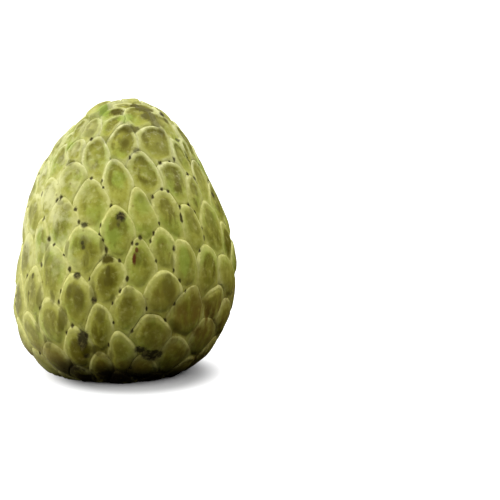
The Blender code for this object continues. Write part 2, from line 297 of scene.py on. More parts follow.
def seen_arches(body):
    """Arc length and angle round the body of each arch top in the view."""
    front = np.linspace(-SEARCH_SIDE, SEARCH_SIDE, SEARCH_GRID[0])
    down = np.linspace(*SEARCH_DOWN, SEARCH_GRID[1]) * body.length
    arc, around = (grid.ravel() for grid in np.meshgrid(down, front))
    seen = seen_place(body.place(body.units_at(arc, around), np.full(len(arc), ARCH_HEIGHT)))
    nearest = [np.argmin(((seen - top) ** 2).sum(axis=1)) for top in ARCH_TOPS.values()]
    return arc[nearest], around[nearest]


def settled(body, middles, area):
    """The middles moved so that the front scales lie where they show."""
    read = np.array(list(ARCH_TOPS)) + FRONT_SCALE
    arc = body.arc_of(middles)
    around = np.arctan2(middles[:, 0], -middles[:, 1])
    top_arc, top_around = seen_arches(body)
    half = ARCH_TO_MIDDLE * np.sqrt(area * body.stretch(arc))
    down = top_arc + half[read] - arc[read]
    turn = (top_around - around[read] + np.pi) % (2.0 * np.pi) - np.pi
    places = body.place(middles, np.zeros(len(middles)))
    apart = np.linalg.norm(places[:, None] - places[None, read], axis=2)
    near = np.exp(-(apart / MOVE_REACH) ** 2)
    near /= near.sum(axis=1, keepdims=True) + MOVE_FADE
    near[read] = np.eye(len(read))
    return body.units_at(arc + near @ down, around + near @ turn)


def scale_middles(body):
    """A unit vector for each scale, in order along the spiral, and one for the bare floor."""
    area = np.interp(body.arc / body.length, AREA_STATIONS, SCALE_AREAS) * MM * MM
    passed = running_sum(2.0 * np.pi * body.radius / area, body.arc)
    last = np.interp(body.length - BARE_FLOOR, body.arc, passed)
    number = np.arange(int(last))
    arc = np.interp(number + FIRST_SCALE, passed, body.arc)
    middles = body.units_at(arc, SPIRAL_START - number * SPIRAL_STEP)
    middles[:, :2] += smooth_step(middles[:, 2:]) * np.array(TIP_SHIFT)
    middles = settled(body, unit(middles), np.interp(arc, body.arc, area))
    floor = np.array([[0.0, 0.0, -1.0]])
    return np.vstack([middles, floor])


def triangles_between(middles):
    """Triangles between neighbouring scales, each wound to face outwards."""
    hull = bmesh.new()
    points = [hull.verts.new(middle) for middle in middles]
    hull.verts.index_update()
    bmesh.ops.convex_hull(hull, input=points)
    triangles = []
    for face in hull.faces:
        corners = [vert.index for vert in face.verts]
        if np.linalg.det(middles[corners]) < 0.0:
            corners.reverse()
        triangles.append(tuple(corners))
    hull.free()
    return sorted(triangles)


def rings_round(count, triangles):
    """For each scale, its neighbours in order, each with the triangle that follows it."""
    links = [{} for _ in range(count)]
    for number, (a, b, c) in enumerate(triangles):
        links[a][b] = (c, number)
        links[b][c] = (a, number)
        links[c][a] = (b, number)
    rings = []
    for link in links:
        first = min(link)
        neighbour = first
        ring = []
        while not ring or neighbour != first:
            following, triangle = link[neighbour]
            ring.append((neighbour, triangle))
            neighbour = following
        rings.append(ring)
    return rings


def corner_places(middles, triangles):
    """Where three scales meet: nearer to one or another of them, as the spiral turns."""
    ordered = middles[np.sort(np.array(triangles), axis=1)]
    to_right = np.linalg.det(ordered) < 0.0
    weights = np.where(to_right[:, None], CORNER_RIGHT, CORNER_LEFT)
    return unit(np.einsum("ti,tij->tj", weights, ordered))


def relief(depth, share, own, size, levels):
    """Height over the body, a given depth inside the scale's edge."""
    edge, rim, follows, hub = levels
    setback = np.minimum(RIM_SETBACK, RIM_SHARE * size)
    rise = np.sin(0.5 * np.pi * np.clip(depth / setback, 0.0, 1.0))
    ridge = edge + (rim - edge) * own * rise
    inner = follows + (hub - follows) * smooth_step(share)
    return ridge + (inner - ridge) * smooth_step((depth - setback) / RIM_FALL)


def rounded(edge):
    """A scale's outline with its corners smoothed into an oval."""
    reach = np.arange(-EDGE_STEPS, EDGE_STEPS + 1)
    weights = 1.0 + np.cos(np.pi * reach / (EDGE_STEPS + 1))
    turned = [np.roll(edge, -step, axis=0) * weight for step, weight in zip(reach, weights)]
    return np.sum(turned, axis=0) / weights.sum()


def ring_shares(size):
    """How far towards the middle each ring of points lies."""
    limit = RIM_LIMIT * np.arange(1, len(RIM_RINGS) + 1) / len(RIM_RINGS)
    rim = [np.minimum(reach * MM / size, most) for reach, most in zip(RIM_RINGS, limit)]
    last = rim[-1]
    inner = [last + (1.0 - last) * share for share in INNER_RINGS]
    return rim + inner


def wander_at(place):
    """Which way edges wander at a place: smooth noise, read in three spots far apart."""
    return [noise.noise(Vector(place) + Vector(apart)) for apart in WOBBLE_APART]


class Skin:
    """The fruit's whole surface, grown scale by scale."""

    # Depth in mm inside the scale's edge, how full the rim is there, share of the way to the
    # middle, and how pale the scale is
    FIELDS = ("depth", "own", "share", "tone")

    def __init__(self):
        self.body = Body()
        self.middles = scale_middles(self.body)
        triangles = triangles_between(self.middles)
        self.rings = rings_round(len(self.middles), triangles)
        self.corners = corner_places(self.middles, triangles)
        self.draw = np.random.default_rng(SEED)
        self.tones = self.draw.uniform(0.0, 1.0, len(self.rings))
        for number, tone in TONES_SEEN.items():
            self.tones[number + FRONT_SCALE] = tone
        self.tilts = self.draw.uniform(-1.0, 1.0, len(self.rings))
        self.pores = dict(enumerate(self.draw.uniform(*PORES_IN_CORNERS, len(self.corners))))
        self.units = list(self.corners)
        self.lifts = list(CORNER_HEIGHT * self.body.relief_share(self.corners))
        self.fields = {name: [0.0] * len(self.units) for name in self.FIELDS}
        self.fields["own"] = [OWN_AT_POINTS] * len(self.units)
        self.faces = []
        self.edges = {}
        self.cut_edges()
        for number in range(len(self.rings)):
            self.grow_scale(number)
        self.points = self.shape()
        self.fields["pore"] = self.pore_field()

    def add(self, units, lifts, **fields):
        """Puts points on the skin, and gives their numbers."""
        first = len(self.units)
        self.units.extend(units)
        self.lifts.extend(lifts)
        for name in self.FIELDS:
            self.fields[name].extend(fields[name])
        return list(range(first, len(self.units)))

    def cut_edges(self):
        """All edges, each owned by the later of the two scales that share it."""
        for number, ring in enumerate(self.rings):
            for index, (neighbour, _) in enumerate(ring):
                if neighbour < number:
                    ends = [ring[(index + step) % len(ring)][1] for step in (-2, -1, 0, 1)]
                    self.cut_edge(number, neighbour, ends)

    def cut_edge(self, number, neighbour, ends):
        """A round arch between two scales, led by its end corners and the ones beyond."""
        span = unit(curve_points(*self.corners[ends], EDGE_STEPS)[1:])
        count = len(span)
        tone = 0.5 * (self.tones[number] + self.tones[neighbour])
        made = self.add(
            span, self.body.relief_levels(span)[0] * self.body.relief_share(span),
            depth=[0.0] * count, own=[OWN_AT_EDGE] * count, share=[0.0] * count, tone=[tone] * count)
        self.edges[neighbour, number] = made
        self.pores[made[count // 2]] = self.draw.uniform(*PORES_ON_EDGES)

    def pore_field(self):
        """Distance from the nearest pore, in sizes of that pore."""
        grooves = self.points[np.array(self.fields["depth"]) == 0.0]
        pores = [(seen_at(grooves, *place), self.draw.uniform(*PORES_IN_FRONT)) for place in PORES_SEEN]
        for vertex, size in self.pores.items():
            _, depth, height = self.points[vertex]
            if size > 0.0 and depth > PORES_AT_RANDOM and height < PORES_UP_TO:
                pores.append((self.points[vertex], size))
        shorter = np.array([1.0, 1.0, 1.0 / PORE_LENGTH])
        tree = KDTree(len(pores))
        for index, (place, _) in enumerate(pores):
            tree.insert(place * shorter, index)
        tree.balance()
        nearest = [tree.find(point) for point in self.points * shorter]
        return [away / (PORE_SIZE * (SMALLEST_PORE + pores[index][1])) for _, index, away in nearest]

    def outline(self, number):
        """The points round a scale, corner by corner and edge by edge."""
        points = []
        for neighbour, triangle in self.rings[number]:
            span = self.edges[min(neighbour, number), max(neighbour, number)]
            points.extend(span if neighbour < number else reversed(span))
            points.append(triangle)
        return points

    def own_share(self, number, edge):
        """How full the scale's rim is: all of it above, and little below."""
        hub = self.middles[number]
        above = [self.middles[neighbour] for neighbour, _ in self.rings[number] if neighbour < number]
        upward = unit(np.mean(above, axis=0) - hub) if above else np.zeros(3)
        return smooth_step((unit(edge - hub) @ upward - OWN_START) / (OWN_END - OWN_START))

    def grow_scale(self, number):
        """Rings of points from a scale's outline to its middle."""
        outline = self.outline(number)
        count = len(outline)
        hub = self.middles[number]
        edge = np.array([self.units[vertex] for vertex in outline])
        reach = self.body.place(edge, np.zeros(count)) - self.body.place(hub[None], np.zeros(1))
        size = np.linalg.norm(reach, axis=1)
        own = self.own_share(number, edge)
        tone = [self.tones[number]] * count
        tilt = self.tilts[number] * SCALE_TILT + PROUD.get(number - FRONT_SCALE, 0.0) * MM
        oval = rounded(edge)
        rows = [outline]
        for share in ring_shares(size):
            depth = share * size
            base = edge + (oval - edge) * smooth_step(depth / ROUNDED_BY)[:, None]
            units = unit(base + (hub - base) * share[:, None])
            rise = relief(depth, share, own, size, self.body.relief_levels(units))
            rise += tilt * smooth_step(depth / RIM_SETBACK)
            lifts = rise * self.body.relief_share(units)
            rows.append(self.add(units, lifts, depth=depth / MM, own=own, share=share, tone=tone))
        top = self.body.relief_levels(hub[None])[-1] + tilt
        middle = self.add(
            [hub], top * self.body.relief_share(hub[None]),
            depth=[size.mean() / MM], own=[OWN_AT_POINTS], share=[1.0], tone=tone[:1])[0]
        self.join(rows, middle)

    def join(self, rows, middle):
        """Faces between a scale's rings, and a fan round its middle."""
        count = len(rows[0])
        for outer, inner in zip(rows, rows[1:]):
            for index in range(count):
                after = (index + 1) % count
                self.faces.append((outer[index], outer[after], inner[after], inner[index]))
        for index in range(count):
            self.faces.append((rows[-1][index], rows[-1][(index + 1) % count], middle))

    def shape(self):
        """The points in place, with their edges wandering and their surface a little uneven."""
        units = np.array(self.units)
        wander = np.array([wander_at(place) for place in units / WOBBLE_SIZE])
        units = unit(units + WOBBLE * wander * (1.0 - units[:, 2:] ** 2))
        flat = self.body.place(units, np.zeros(len(units)))
        dents = np.array([noise.noise(Vector(point / DENT_SIZE)) for point in flat])
        depth = np.array(self.fields["depth"])
        full = self.body.relief_share(units)
        level = (flat[:, 2] / FRUIT_HEIGHT - BOLDER_FROM) / (BOLDER_FULL - BOLDER_FROM)
        bolder = 1.0 + BOLDER_AT_TIP * smooth_step(level)
        lifts = np.array(self.lifts) * bolder + DENTS * dents * full * smooth_step(depth / DENTS_FULL)
        return self.body.place(units, lifts)


def seen_at(points, right, down):
    """The one of these points that shows nearest to a place in the view."""
    front = points[points[:, 1] < 0.0]
    apart = np.linalg.norm(seen_place(front) - (right, down), axis=1)
    return front[np.argmin(apart)]


def linear(red, green, blue):
    """A colour given as 0 to 255 on screen, for a shader."""
    share = np.array([red, green, blue]) / 255.0
    low = share / 12.92
    high = ((share + 0.055) / 1.055) ** 2.4
    return (*np.where(share <= 0.04045, low, high).tolist(), 1.0)


# Colours of the skin and the stem
OLIVE = linear(164, 164, 70)
DEEP_OLIVE = linear(130, 128, 34)
PALE_RIM = linear(205, 203, 124)
CREAM = linear(202, 202, 148)
# A painted sheen, laid high on the left where the light falls
PAINTED_SHEEN = linear(214, 213, 158)
TIP_YELLOW = linear(206, 205, 128)
FRESH_GREEN = linear(140, 160, 58)
# The foot's near-black: partly crust, partly painted shade where the fruit meets the floor
FOOT_CRUST_AND_SHADE = linear(26, 20, 8)
SHADED_OLIVE = linear(96, 92, 14)
# Real bronze in the specks, also laid low on the right and round the lowest part as painted shade
BRONZE_AND_PAINTED_SHADE = linear(104, 86, 28)
PORE_BROWN = linear(52, 44, 4)
STAIN = linear(76, 70, 4)
SCAR_DARK = linear(42, 36, 14)
SCAR_GREY = linear(100, 92, 50)
RUST = linear(84, 44, 12)
CORK = linear(150, 126, 84)
BARK = linear(96, 74, 48)
BARK_DARK = linear(50, 36, 24)
CUT_WOOD = linear(186, 158, 112)

# Pores on the front, where they show in the view
PORES_SEEN = [
    (110, 209), (73, 211), (61, 200), (54, 201), (75, 223), (98, 235), (98, 242), (99, 251),
    (64, 253), (67, 270), (87, 281), (92, 301), (119, 261), (122, 279), (138, 236), (153, 198),
    (160, 193), (178, 208), (178, 216), (178, 224), (150, 242), (150, 232), (153, 224),
    (156, 263), (176, 271), (166, 302), (29, 214), (41, 193), (47, 241), (51, 247), (38, 267),
    (26, 278), (99, 182), (90, 180), (123, 158), (91, 140), (159, 162), (166, 163), (174, 161),
    (186, 176), (193, 179), (198, 182), (185, 209), (193, 212), (182, 281), (182, 292),
    (198, 253), (202, 239), (111, 306), (116, 322), (71, 325), (66, 333), (88, 334), (147, 311),
    (164, 322), (91, 195), (136, 245), (125, 295), (39, 353), (172, 186), (192, 232), (63, 302),
    (109, 344), (131, 331), (82, 365), (58, 288), (44, 311), (104, 229), (166, 247),
]

# Scars, stains, green patches and red streaks on the front: where they show in the view,
# half width and half length in mm, how strong
SCARS = [
    (120, 217, 2.4, 2.5, 1.0), (117, 224, 0.8, 1.8, 0.6), (83, 226, 1.9, 1.5, 0.9),
    (80, 241, 0.9, 1.3, 0.8), (82, 246, 0.9, 1.2, 0.7), (76, 276, 1.9, 1.7, 0.95),
    (42, 220, 0.7, 1.6, 0.8), (32, 276, 1.2, 1.6, 0.8), (27, 296, 0.7, 3.6, 0.6),
    # The long dark mark at (80, 340) is partly a scar and partly painted shade in a deep crevice between
    # scales
    (212, 195, 1.4, 2.2, 1.0), (92, 301, 1.3, 1.8, 0.9), (80, 340, 2.7, 5.6, 0.95),
    (139, 350, 3.0, 2.2, 0.95), (144, 355, 2.0, 3.0, 0.9), (151, 352, 3.2, 1.3, 0.95),
    (150, 358, 3.4, 2.2, 0.95), (157, 356, 1.8, 3.0, 0.9), (122, 362, 1.4, 2.4, 0.8),
    (115, 365, 1.4, 1.6, 0.8), (86, 356, 1.6, 1.6, 0.8), (160, 115, 1.4, 3.2, 0.9),
    (165, 122, 1.3, 2.6, 0.6), (176, 141, 1.2, 1.5, 0.75), (136, 245, 0.9, 0.8, 0.9),
    (129, 368, 1.0, 3.0, 0.8), (135, 366, 1.0, 3.2, 0.8), (147, 350, 2.2, 1.2, 0.9),
]
STAINS = [
    (64, 250, 1.4, 5.0, 0.5), (100, 243, 1.2, 5.0, 0.55), (66, 208, 2.6, 1.6, 0.4),
    (58, 203, 2.4, 1.4, 0.45), (92, 296, 1.4, 3.6, 0.6), (110, 300, 1.2, 3.4, 0.5),
    (28, 212, 1.6, 4.0, 0.4), (138, 200, 2.0, 3.0, 0.3), (112, 160, 2.2, 3.4, 0.35),
    (140, 163, 1.8, 2.6, 0.35), (66, 292, 1.4, 4.0, 0.5), (190, 210, 1.2, 4.4, 0.4),
    (45, 255, 2.0, 7.0, 0.5), (38, 300, 1.8, 7.0, 0.6), (52, 300, 1.6, 4.0, 0.6),
    (36, 325, 2.0, 5.0, 0.6), (86, 262, 1.6, 4.0, 0.5), (90, 290, 1.6, 4.6, 0.55),
    (55, 232, 1.6, 4.0, 0.4), (72, 345, 2.6, 2.6, 0.6),
    (86, 135, 3.0, 3.0, 0.45), (104, 140, 2.4, 2.6, 0.4), (60, 160, 2.0, 3.0, 0.4),
    (106, 261, 3.0, 2.4, 1.0), (106, 271, 1.2, 5.0, 0.9), (107, 282, 2.2, 2.4, 0.8),
    (171, 327, 3.2, 3.6, 0.6), (85, 350, 3.2, 4.4, 0.8), (98, 351, 4.2, 2.8, 0.75),
    (60, 319, 2.2, 5.6, 0.75), (47, 343, 2.8, 4.0, 0.6), (116, 113, 3.4, 2.2, 1.0),
    (133, 106, 3.2, 2.4, 1.0), (140, 111, 5.0, 4.4, 0.9), (148, 117, 4.0, 3.4, 0.85),
    (153, 124, 3.0, 3.0, 0.7), (161, 131, 2.2, 2.8, 0.7), (127, 130, 4.2, 2.0, 0.8),
    (121, 142, 2.8, 3.4, 0.6), (69, 164, 2.6, 1.8, 0.6), (135, 151, 2.0, 1.6, 0.6),
    (168, 288, 3.6, 6.0, 0.6), (126, 298, 2.8, 4.6, 0.5), (78, 300, 2.8, 5.6, 0.55),
    (82, 244, 1.8, 3.4, 0.6), (135, 258, 1.6, 4.6, 0.45), (97, 318, 2.2, 4.0, 0.6),
    (148, 322, 2.6, 3.6, 0.5), (147, 200, 2.4, 3.0, 0.3), (119, 228, 2.6, 3.0, 0.3),
    (124, 290, 1.4, 2.4, 0.6), (166, 284, 2.0, 3.0, 0.6), (171, 262, 1.4, 4.0, 0.45),
]
GREENS = [
    (102, 111, 3.4, 3.0, 0.85), (124, 119, 4.0, 2.0, 0.6), (117, 180, 3.5, 5.0, 0.5),
    (139, 205, 4.0, 6.0, 0.4), (110, 237, 4.0, 5.0, 0.5), (184, 262, 3.0, 8.0, 0.5),
    (68, 147, 3.0, 3.4, 0.5), (198, 165, 2.0, 8.0, 0.5), (36, 240, 2.4, 7.0, 0.4),
]
RED_STREAKS = [(134, 258, 0.9, 3.8, 1.0), (134, 251, 0.8, 1.4, 0.9)]


class Tree:
    """Wires the nodes of one material or one node group."""

    def __init__(self, tree):
        self.tree = tree

    def node(self, kind, inputs=(), **settings):
        """A new node with its settings and what goes into it."""
        made = self.tree.nodes.new(kind)
        for name, value in settings.items():
            setattr(made, name, value)
        for socket, value in dict(inputs).items():
            self.give(made.inputs[socket], value)
        return made

    def give(self, socket, value):
        """Links a socket, or sets it to a fixed value."""
        if isinstance(value, bpy.types.NodeSocket):
            self.tree.links.new(value, socket)
        else:
            socket.default_value = value

    def math(self, operation, *values, clamp=False):
        """One step of arithmetic with numbers."""
        made = self.node("ShaderNodeMath", enumerate(values), operation=operation, use_clamp=clamp)
        return made.outputs[0]

    def times(self, first, *others):
        """The product of all of these."""
        for other in others:
            first = self.math("MULTIPLY", first, other)
        return first

    def scaled(self, value, factor, base):
        """The value times the factor, added to the base."""
        return self.math("MULTIPLY_ADD", value, factor, base)

    def between(self, share, pair):
        """From the first number of a pair, where the share is none, to the second."""
        return self.scaled(share, pair[1] - pair[0], pair[0])

    def centred(self, cloud):
        """A cloud that swings about nothing instead of a half."""
        return self.math("SUBTRACT", cloud, 0.5)

    def vector(self, operation, *values):
        """One step of arithmetic with places."""
        made = self.node("ShaderNodeVectorMath", enumerate(values), operation=operation)
        return made.outputs["Value" if operation == "LENGTH" else "Vector"]

    def step(self, value, start, end, low=0.0, high=1.0):
        """A smooth step from low to high as the value goes from start to end."""
        inputs = {"Value": value, "From Min": start, "From Max": end, "To Min": low, "To Max": high}
        made = self.node("ShaderNodeMapRange", inputs, interpolation_type="SMOOTHSTEP")
        return made.outputs["Result"]

    def mix(self, share, first, second):
        """The first colour, with this share of the second laid over it."""
        made = self.node("ShaderNodeMix", {0: share, 6: first, 7: second}, data_type="RGBA")
        return made.outputs[2]

    def noise(self, place, fineness, detail, roughness):
        """Cloudy noise, with its fineness in patches to a metre."""
        inputs = {"Vector": place, "Scale": fineness, "Detail": detail, "Roughness": roughness}
        return self.node("ShaderNodeTexNoise", inputs).outputs["Fac"]

    def group(self, name, **values):
        """A node group in this tree, with its own values."""
        made = self.node("ShaderNodeGroup", node_tree=bpy.data.node_groups[name])
        for socket, value in values.items():
            self.give(made.inputs[socket.replace("_", " ")], value)
        return made

    def mottle(self, place, look):
        """Uneven clouds of one look: patches to a metre, and contrast."""
        return self.group("mottle", Place=place, Fineness=look[0], Contrast=look[1]).outputs["Mask"]

    def specks(self, place, look):
        """Specks of one look: cells to a metre, and the share of them that hold a speck."""
        return self.group("specks", Place=place, Fineness=look[0], Share=look[1]).outputs["Mask"]

    def field(self, name):
        """A value that the mesh carries at each of its points."""
        return self.node("ShaderNodeAttribute", attribute_name=name).outputs["Fac"]


VALUE = "NodeSocketFloat"
VECTOR = "NodeSocketVector"
MOTTLE_DETAIL = 5.0
MOTTLE_ROUGHNESS = 0.62
BLEMISH_EDGE = (1.2, 0.55)    # of the blemish's reach, from none to full
SPECK_EDGE = (0.26, 0.10)     # of a cell


def new_group(name, **inputs):
    """An empty node group that puts out one mask: its tree, its inputs and that mask's socket."""
    made = bpy.data.node_groups.new(name, "ShaderNodeTree")
    for socket, kind in inputs.items():
        made.interface.new_socket(socket.replace("_", " "), in_out="INPUT", socket_type=kind)
    made.interface.new_socket("Mask", in_out="OUTPUT", socket_type=VALUE)
    tree = Tree(made)
    return tree, tree.node("NodeGroupInput").outputs, tree.node("NodeGroupOutput").inputs["Mask"]


def make_mottle():
    """Uneven ripening or weathering: broad clouds broken up by finer ones."""
    tree, given, mask = new_group("mottle", Place=VECTOR, Fineness=VALUE, Contrast=VALUE)
    cloud = tree.noise(given["Place"], given["Fineness"], MOTTLE_DETAIL, MOTTLE_ROUGHNESS)
    swing = tree.times(tree.centred(cloud), given["Contrast"])
    tree.give(mask, tree.math("ADD", swing, 0.5, clamp=True))


def make_blemish():
    """A spot of a given middle and reach, made ragged by the grain."""
    tree, given, mask = new_group("blemish", Place=VECTOR, Middle=VECTOR, Per_Reach=VECTOR, Grain=VALUE)
    away = tree.vector("SUBTRACT", given["Place"], given["Middle"])
    reach = tree.vector("LENGTH", tree.vector("MULTIPLY", away, given["Per Reach"]))
    tree.give(mask, tree.step(tree.math("ADD", reach, given["Grain"]), *BLEMISH_EDGE))


def make_specks():
    """Small dark specks scattered over a surface."""
    tree, given, mask = new_group("specks", Place=VECTOR, Fineness=VALUE, Share=VALUE)
    cells = tree.node("ShaderNodeTexVoronoi", {"Vector": given["Place"], "Scale": given["Fineness"]})
    dot = tree.step(cells.outputs["Distance"], *SPECK_EDGE)
    pick = tree.node("ShaderNodeSeparateColor", {"Color": cells.outputs["Color"]}).outputs["Red"]
    tree.give(mask, tree.times(dot, tree.math("LESS_THAN", pick, given["Share"])))


# Clouds over the skin: patches to a metre, and contrast
BROAD_CLOUDS = (95.0, 2.4)
FINE_CLOUDS = (420.0, 2.0)
GREEN_CLOUDS = (60.0, 3.0)
STREAKS = (330.0, 2.2)
BLOTCHES = (190.0, 3.2)
UPRIGHT = (1.0, 1.0, 0.3)     # streaks and blotches run up and down

# Steps of the skin's masks: from where to where, then from what share to what share. Depths
# are in mm inside a scale's edge, heights and places across the fruit in metres
NEAR_TIP = (70.0 * MM, 104.0 * MM)
GREENER = (0.4, 1.0, 0.0, 0.55)
DARKER_SCALES = (1.0, 0.0, 0.4, 1.25)
SHADE_BEYOND_MIDDLE = (7.0, 2.4)
SHADE_OF_OWN = (0.35, 0.95)
SHADE_STREAKS = (0.1, 0.8, 0.4, 0.85)
MIDDLE_OF_SCALE = (0.2, 0.55)
MIDDLE_BLOTCHES = (0.35, 0.9, 0.1, 0.95)
MIDDLE_OF_DARKEST = (0.35, 0.0, 0.0, 0.85)
DARK_MOTTLING = (0.5, 0.95, 0.0, 0.4)
PALE_MOTTLING = (0.5, 0.05, 0.0, 0.3)
RIM_CLOUDS = (0.1, 0.9, 0.6, 1.0)
LINE_DEPTH = (0.85, 0.25)
LINE_STREAKS = (0.2, 0.8, 0.45, 1.0)
YELLOW_HEIGHT = (80.0 * MM, 118.0 * MM, 0.0, 0.06)
# The painted sheen on the lit left side
SHEEN_ACROSS = (0.0, -40.0 * MM)
SHEEN_HEIGHT = (30.0 * MM, 75.0 * MM)
SHEEN_CLOUDS = (0.35, 0.8, 0.0, 0.7)
SHEEN_AT_LEFT_SIDE = (-20.0 * MM, -43.0 * MM, 0.0, 0.1)
# Bronze low on the right and darker lowest all round: partly real bronzing, partly painted shade
BRONZE_SHADE_HEIGHT = (58.0 * MM, 30.0 * MM)
BRONZE_SHADE_ACROSS = (-5.0 * MM, 35.0 * MM, 0.15, 1.0)
BRONZE_SHADE_CLOUDS = (0.1, 0.8, 0.5, 1.0)
BRONZE_SHADE_STREAKS = (0.2, 0.7, 0.45, 1.0)
LOWEST_HEIGHT = (26.0 * MM, 10.0 * MM)
LOWEST_CLOUDS = (0.2, 0.8, 0.2, 0.8)
# The dark foot, partly crust and partly painted shade where the fruit meets the floor
FOOT_HEIGHT = (11.5 * MM, 4.5 * MM)
FOOT_ACROSS = (-38.0 * MM, -15.0 * MM, 0.1, 1.0)
FOOT_CLOUDS = (0.1, 0.6, 0.45, 1.0)
PORE_EDGE = (1.15, 0.45, 0.0, 0.95)
GREY_IN_SCARS = (0.45, 0.8)

# Pairs: low on the fruit and near its tip
SHADE_STARTS = (2.0, 0.9)     # mm inside the edge
SHADE_FULL = (4.5, 1.9)
SHADE_IN_MIDDLE = (0.8, 0.2)
RIM_ENDS = (3.2, 2.2)
RIM_STRENGTH = (0.85, 1.15)
RIM_FULL = 0.5
RIM_BY_OWN = (0.2, 0.45)      # where the rim is another scale's and where it is the scale's own

# How much clouds, streaks and tones of scales move a value. Grains are noise: patches to a
# metre, detail, roughness. Speckles are cells to a metre and the share of them that hold one
DEPTH_BY_FINE = 0.8
DEPTH_BY_BROAD = 1.0
RIPE_BY_BROAD = 0.5
RIPE_BY_SCALE = 0.3
RIPE_BY_STREAKS = 0.3
FOOT_SLANT = 0.15
PORE_BY_FINE = 0.5
SOFT_BY_FINE = 0.6
SOFT_BY_STREAKS = 0.7
SCAR_RAGGED = 1.2
SCAR_GRAIN = (1.0 / (1.8 * MM), 4.0, 0.75)
SPECKLE = (330.0, 0.16)
SPECKLE_STRENGTH = 0.45
HOLLOW_WIDE = 11.0 * MM
HOLLOW_LONG = 14.0 * MM
HOLLOW_STRENGTH = 0.8

# Gloss and fine bumps of the skin
SMOOTHEST = 0.42              # roughness
ROUGH_BY_FINE = 0.18
ROUGH_BY_SCARS = 0.25
GLOSS = 0.1
PITS = (1.0 / (1.1 * MM), 3.0, 0.6)
BUMP_BY_FINE = 0.8
BUMP_BY_PORES = -1.5
BUMP_STRENGTH = 0.35
BUMP_HEIGHT = 0.25 * MM


